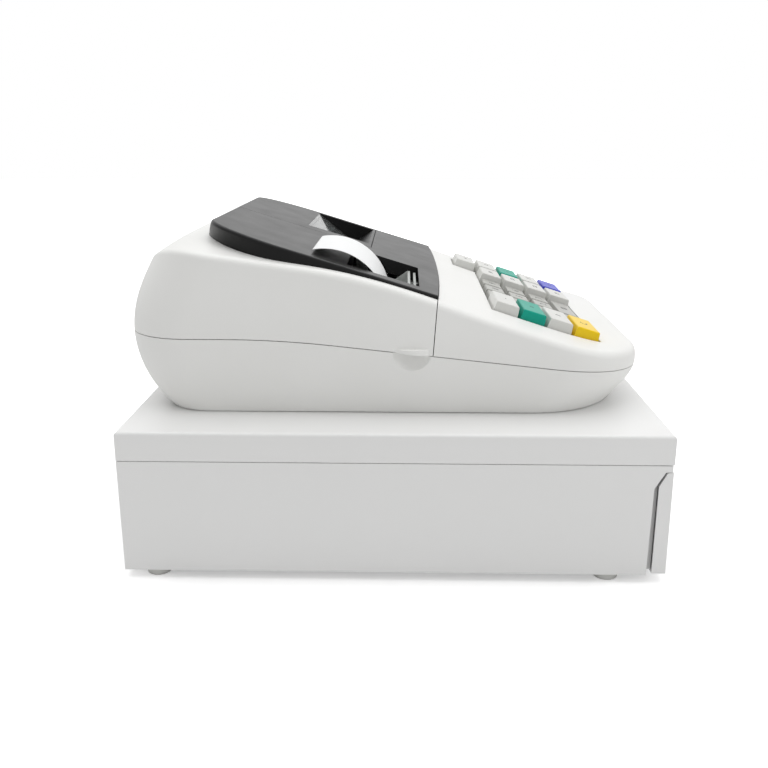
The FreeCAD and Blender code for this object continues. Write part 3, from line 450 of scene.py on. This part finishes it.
def round_edges(piece, width, segments=3):
    """Rounds a piece's sharp edges."""
    rounding = piece.modifiers.new("rounding", "BEVEL")
    rounding.width = width
    rounding.segments = segments
    rounding.limit_method = "ANGLE"
    rounding.angle_limit = math.radians(40)
    take_up(piece)
    bpy.ops.object.modifier_apply(modifier=rounding.name)


def pick(piece, kind, wanted):
    """In edit mode, selects only the edges or faces of a piece that pass a test."""
    bpy.ops.object.mode_set(mode="EDIT")
    bpy.ops.mesh.select_mode(type=kind)
    bpy.ops.mesh.select_all(action="DESELECT")
    mesh = bmesh.from_edit_mesh(piece.data)
    elements = mesh.faces if kind == "FACE" else mesh.edges
    for element in list(elements):
        if wanted(element):
            element.select_set(True)
    bmesh.update_edit_mesh(piece.data)


def joined(parts):
    """One object made of several."""
    bpy.ops.object.select_all(action="DESELECT")
    for part in parts:
        part.select_set(True)
    bpy.context.view_layer.objects.active = parts[0]
    bpy.ops.object.join()
    return bpy.context.object


# %% [markdown]
# Key tops carry plain figures and signs. They are pad-printed, so they lie on the key as a film of ink
# a few hundredths of a millimetre thick and share its slope. They are plain figures, letters and marks.

# %% Print the key tops
KEY_SLOPE = 0.315
KEY_TILT = math.atan(KEY_SLOPE)
KEY_UP = Vector((0, -math.sin(KEY_TILT), math.cos(KEY_TILT)))
INK_FILM = 0.06 * MM
ON_TOP = 0.02 * MM
SMALL, LARGE = 5.2 * MM, 7.4 * MM
KEY_SIGNS = {
    "zero": ("0", LARGE), "double_zero": ("00", LARGE), "one": ("1", LARGE), "two": ("2", LARGE),
    "three": ("3", LARGE), "four": ("4", LARGE), "five": ("5", LARGE), "six": ("6", LARGE),
    "seven": ("7", LARGE), "eight": ("8", LARGE), "nine": ("9", LARGE),
    "multiply": ("\u00d7", LARGE), "clear": ("C", LARGE), "percent": ("%", SMALL), "void": ("-", LARGE),
    "tax": ("+", SMALL), "date": ("#", SMALL), "total": ("=", LARGE), "subtotal": ("( )", SMALL),
    "paper_feed": ("^", LARGE), "department_one": ("D1", SMALL), "department_two": ("D2", SMALL),
    "department_three": ("D3", SMALL), "department_four": ("D4", SMALL),
}
key_ink = moulded_abs("black pad-printing ink", "#2C2D30", "#26272A", 0.5, depth_mm=0.005)


def middle_of(points):
    """The middle of the box round some points."""
    return Vector([(min(p[axis] for p in points) + max(p[axis] for p in points)) / 2 for axis in range(3)])


def key_top(name):
    """The middle of a key's top face."""
    key = nodes[name]
    corners = [key.matrix_world @ vertex.co for vertex in key.data.vertices]
    level = max(corner.dot(KEY_UP) for corner in corners)
    return middle_of([corner for corner in corners if corner.dot(KEY_UP) > level - ON_TOP])


def print_sign(key, sign, height):
    """A sign is made one metre tall, where the text tool is exact, and scaled down to its key."""
    bpy.ops.object.select_all(action="DESELECT")
    bpy.ops.object.text_add(location=(0, 0, 0))
    text = bpy.context.object
    text.data.body = sign
    text.data.extrude = INK_FILM / height
    text.data.align_x = "CENTER"
    text.data.resolution_u = 3
    bpy.ops.object.convert(target="MESH")
    film = bpy.context.object
    bpy.ops.object.mode_set(mode="EDIT")
    bpy.ops.mesh.select_all(action="SELECT")
    bpy.ops.mesh.remove_doubles(threshold=0.0005)
    bpy.ops.object.mode_set(mode="OBJECT")
    bpy.ops.object.origin_set(type="ORIGIN_GEOMETRY", center="BOUNDS")
    film.scale = (height, height, height)
    film.rotation_euler = (KEY_TILT, 0, 0)
    film.location = key_top("key_" + key)
    finish_piece(film, "sign_" + key, key_ink, "key_" + key)


for key, (sign, height) in KEY_SIGNS.items():
    print_sign(key, sign, height)

# %% [markdown]
# The receipt leaves the printer, rises behind the comb and curls backwards, as paper does that was
# wound on a roll. It is a strip with a real thickness, spun through 100 degrees, and its free end has
# the teeth of the cutter.

# %% Curl the receipt
PAPER_THICK = 0.22 * MM
CURL_RADIUS = 39.9 * MM
CURL_TURN = math.radians(100)
CURL_STEPS = 48
TEETH = 46
TOOTH = 0.7 * MM
NEARLY = 0.01 * MM
low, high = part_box("receipt_paper")
paper_y = low[1] + 0.15 * MM
curl_z = high[2] - 0.2 * MM - CURL_RADIUS
curl_axis = (0, paper_y + CURL_RADIUS, curl_z)

bpy.ops.object.select_all(action="DESELECT")
bpy.ops.mesh.primitive_grid_add(x_subdivisions=TEETH, y_subdivisions=6, size=1)
receipt = bpy.context.object
receipt.rotation_euler = (math.pi / 2, 0, 0)
receipt.scale = (high[0] - low[0], curl_z - low[2], 1)
receipt.location = ((low[0] + high[0]) / 2, paper_y, (low[2] + curl_z) / 2)
bpy.ops.object.transform_apply(location=True, rotation=True, scale=True)
pick(receipt, "EDGE", lambda edge: all(abs(vertex.co.z - curl_z) < NEARLY for vertex in edge.verts))
bpy.ops.mesh.spin(steps=CURL_STEPS, angle=CURL_TURN, center=curl_axis, axis=(1, 0, 0))
strip = bmesh.from_edit_mesh(receipt.data)
torn = sorted((vertex for vertex in strip.verts if vertex.select), key=lambda vertex: vertex.co.x)
back_along = -TOOTH * Vector((0, math.sin(CURL_TURN), math.cos(CURL_TURN)))
for vertex in torn[1::2]:
    vertex.co += back_along
bmesh.update_edit_mesh(receipt.data)
bpy.ops.mesh.select_all(action="SELECT")
bpy.ops.mesh.remove_doubles(threshold=NEARLY)
bpy.ops.object.mode_set(mode="OBJECT")
print("the torn end has", len(torn), "points")
stock = receipt.modifiers.new("stock", "SOLIDIFY")
stock.thickness = PAPER_THICK
stock.offset = 0
bpy.ops.object.modifier_apply(modifier=stock.name)
finish_piece(receipt, "receipt", paper, "printer_cover", "receipt_paper")

# %% [markdown]
# The display has eight seven-segment figures. They aren't lit, so each segment is only a shade paler
# than the glass round it. Seven pointed bars make a figure.

# %% Lay out the display figures
DIGITS = 8
GLASS_USED = 0.9
DIGIT_WIDTH, DIGIT_HEIGHT = 5.6 * MM, 10.0 * MM
SEGMENT = 1.1 * MM
SEGMENT_RISE = 0.1 * MM
SEGMENT_SINK = 0.02 * MM
SEGMENT_GAP = 0.3 * MM
POINTED = 0.48
segment_film = moulded_abs("unlit display segment", "#939DA2", "#8D979C", 0.4, depth_mm=0.0)

module = nodes["display_module"]
faces = [face for face in module.data.polygons if face.normal.z > 0.5 and face.normal.y < -0.3]
facing = max(faces, key=lambda face: face.area)
same_side = [face for face in module.data.polygons if face.normal.dot(facing.normal) > 0.999]
spots = [module.matrix_world @ module.data.vertices[i].co for face in same_side for i in face.vertices]
level = max(spot.dot(facing.normal) for spot in spots)
spots = [spot for spot in spots if spot.dot(facing.normal) > level - 0.05 * MM]
glass_middle = middle_of(spots)
glass_wide = max(spot.x for spot in spots) - min(spot.x for spot in spots)
glass_tilt = math.atan2(-facing.normal.y, facing.normal.z)
print("the display is", round(glass_wide / MM, 1), "mm wide")


def segment(x, y, upright):
    """One bar of a figure, pointed at both ends."""
    bpy.ops.mesh.primitive_cube_add(size=1, location=(x, y, 0))
    bar = bpy.context.object
    long_side = DIGIT_HEIGHT / 2 if upright else DIGIT_WIDTH
    bar.scale = (long_side - SEGMENT_GAP, SEGMENT, SEGMENT_RISE)
    bar.rotation_euler = (0, 0, math.pi / 2 if upright else 0)
    bpy.ops.object.transform_apply(location=False, rotation=False, scale=True)
    pick(bar, "EDGE", lambda edge: abs(edge.verts[0].co.z - edge.verts[1].co.z) > SEGMENT_RISE / 2)
    bpy.ops.mesh.bevel(offset=SEGMENT * POINTED, segments=1, affect="EDGES")
    bpy.ops.object.mode_set(mode="OBJECT")
    return bar


half_w, half_h = DIGIT_WIDTH / 2, DIGIT_HEIGHT / 2
SEGMENT_PLACES = [(0, half_h, False), (0, 0, False), (0, -half_h, False), (-half_w, half_h / 2, True),
                  (half_w, half_h / 2, True), (-half_w, -half_h / 2, True), (half_w, -half_h / 2, True)]
bars = []
pitch = glass_wide * GLASS_USED / DIGITS
for digit in range(DIGITS):
    middle = (digit - (DIGITS - 1) / 2) * pitch
    for x, y, upright in SEGMENT_PLACES:
        bars.append(segment(middle + x, y, upright))
figures = joined(bars)
bpy.ops.object.transform_apply(location=True, rotation=True, scale=True)
figures.rotation_euler = (glass_tilt, 0, 0)
figures.location = glass_middle + facing.normal * (SEGMENT_RISE / 2 - SEGMENT_SINK)
finish_piece(figures, "display_figures", segment_film, "base")

# %% [markdown]
# Small hardware: hex screws with a flange hold the lid at the rear, and the case stands on four moulded
# feet, each with a rounded rim and a hollow for its own screw.

# %% Turn the feet and the screws
def disc(radius, top_radius, depth, place, turn=(0, 0, 0), sides=48):
    """A round or many-sided disc, which may taper."""
    bpy.ops.object.select_all(action="DESELECT")
    bpy.ops.mesh.primitive_cone_add(vertices=sides, radius1=radius, radius2=top_radius, depth=depth,
                                    location=place, rotation=turn)
    return bpy.context.object


FOOT_RADIUS = 8.3 * MM
FOOT_TAPER = 1.0 * MM
FOOT_RING = 2.6 * MM
HOLLOW_SLOPE, HOLLOW_DEPTH = 0.6 * MM, 2.5 * MM
low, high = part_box("rubber_feet")
foot_height = high[2] - low[2]
feet = []
for x in (low[0] + FOOT_RADIUS, high[0] - FOOT_RADIUS):
    for y in (low[1] + FOOT_RADIUS, high[1] - FOOT_RADIUS):
        foot = disc(FOOT_RADIUS - FOOT_TAPER, FOOT_RADIUS, foot_height, (x, y, low[2] + foot_height / 2))
        pick(foot, "FACE", lambda face: face.normal.z < -0.9)
        bpy.ops.mesh.inset(thickness=FOOT_RING)
        bpy.ops.mesh.inset(thickness=HOLLOW_SLOPE)
        bpy.ops.transform.translate(value=(0, 0, HOLLOW_DEPTH))
        bpy.ops.object.mode_set(mode="OBJECT")
        round_edges(foot, 0.5 * MM)
        feet.append(foot)
finish_piece(joined(feet), "moulded_feet", foot_rubber, "base", "rubber_feet")

HEX_RADIUS = 4.0 * MM
FLANGE = 0.7 * MM
FACING_REAR = (math.pi / 2, 0, 0)
low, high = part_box("lid_screws")
screw_z = (low[2] + high[2]) / 2
screw_depth = high[1] - low[1]
screws = []
for x in (low[0] + HEX_RADIUS, (low[0] + high[0]) / 2, high[0] - HEX_RADIUS):
    head = disc(HEX_RADIUS, HEX_RADIUS, screw_depth, (x, low[1] + screw_depth / 2, screw_z), FACING_REAR, 6)
    round_edges(head, 0.35 * MM, 2)
    flange = disc(HEX_RADIUS + 1 * MM, HEX_RADIUS + 0.6 * MM, FLANGE, (x, low[1] + FLANGE / 2, screw_z),
                  FACING_REAR)
    round_edges(flange, 0.15 * MM, 2)
    screws += [head, flange]
finish_piece(joined(screws), "flange_screws", plated, "base", "lid_screws")

# %% [markdown]
# Two folded details show only as thin lines. A black lip runs under the joint between the dark covers,
# so that no light comes up through it, and the drawer front has a painted return along each side, just
# inside the case.

# %% Fold the lip and the returns
def bar_between(low, high):
    """A bar from its lowest to its highest corner, with slightly rounded edges."""
    bpy.ops.object.select_all(action="DESELECT")
    middle = [(a + b) / 2 for a, b in zip(low, high)]
    bpy.ops.mesh.primitive_cube_add(size=1, location=middle)
    bar = bpy.context.object
    bar.scale = [b - a for a, b in zip(low, high)]
    bpy.ops.object.transform_apply(location=True, rotation=True, scale=True)
    round_edges(bar, 0.15 * MM, 2)
    return bar


PANEL_SLOPE = 0.305
PANEL_DATUM = 176.6 * MM
PANEL_WALL = 2.6 * MM
LIP_HALF = 2.0 * MM
LIP_GAUGE = 0.8 * MM
LIP_DROP = 0.5 * MM
LIP_FRONT = 19.0 * MM
LIP_SHORT = 5.0 * MM
low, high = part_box("printer_cover_panel")
lip_front, lip_rear = LIP_FRONT, high[1] - LIP_SHORT
lip_run = (lip_rear - lip_front) * math.hypot(1, PANEL_SLOPE)
lip = bar_between((-LIP_HALF, -lip_run / 2, -LIP_GAUGE / 2), (LIP_HALF, lip_run / 2, LIP_GAUGE / 2))
lip_mid = (lip_front + lip_rear) / 2
lip.rotation_euler = (math.atan(PANEL_SLOPE), 0, 0)
lip_level = PANEL_DATUM + PANEL_SLOPE * lip_mid - PANEL_WALL - LIP_DROP - LIP_GAUGE
lip.location = (0, lip_mid, lip_level)
finish_piece(lip, "joint_lip", inner_abs, "base")

RETURN_GAUGE = 0.8 * MM
RETURN_ROOM = 3.6 * MM
RETURN_DEPTH = 4.4 * MM
RETURN_WELD = 0.2 * MM
RETURN_FOOT, RETURN_HEAD = 1.0 * MM, 8.5 * MM
low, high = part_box("drawer_front")
returns = []
for side in (-1, 1):
    outside = side * (high[0] - RETURN_ROOM)
    inside = outside - side * RETURN_GAUGE
    returns.append(bar_between((min(inside, outside), high[1] - RETURN_WELD, low[2] + RETURN_FOOT),
                               (max(inside, outside), high[1] + RETURN_DEPTH, high[2] - RETURN_HEAD)))
finish_piece(joined(returns), "front_returns", case_paint, "drawer")
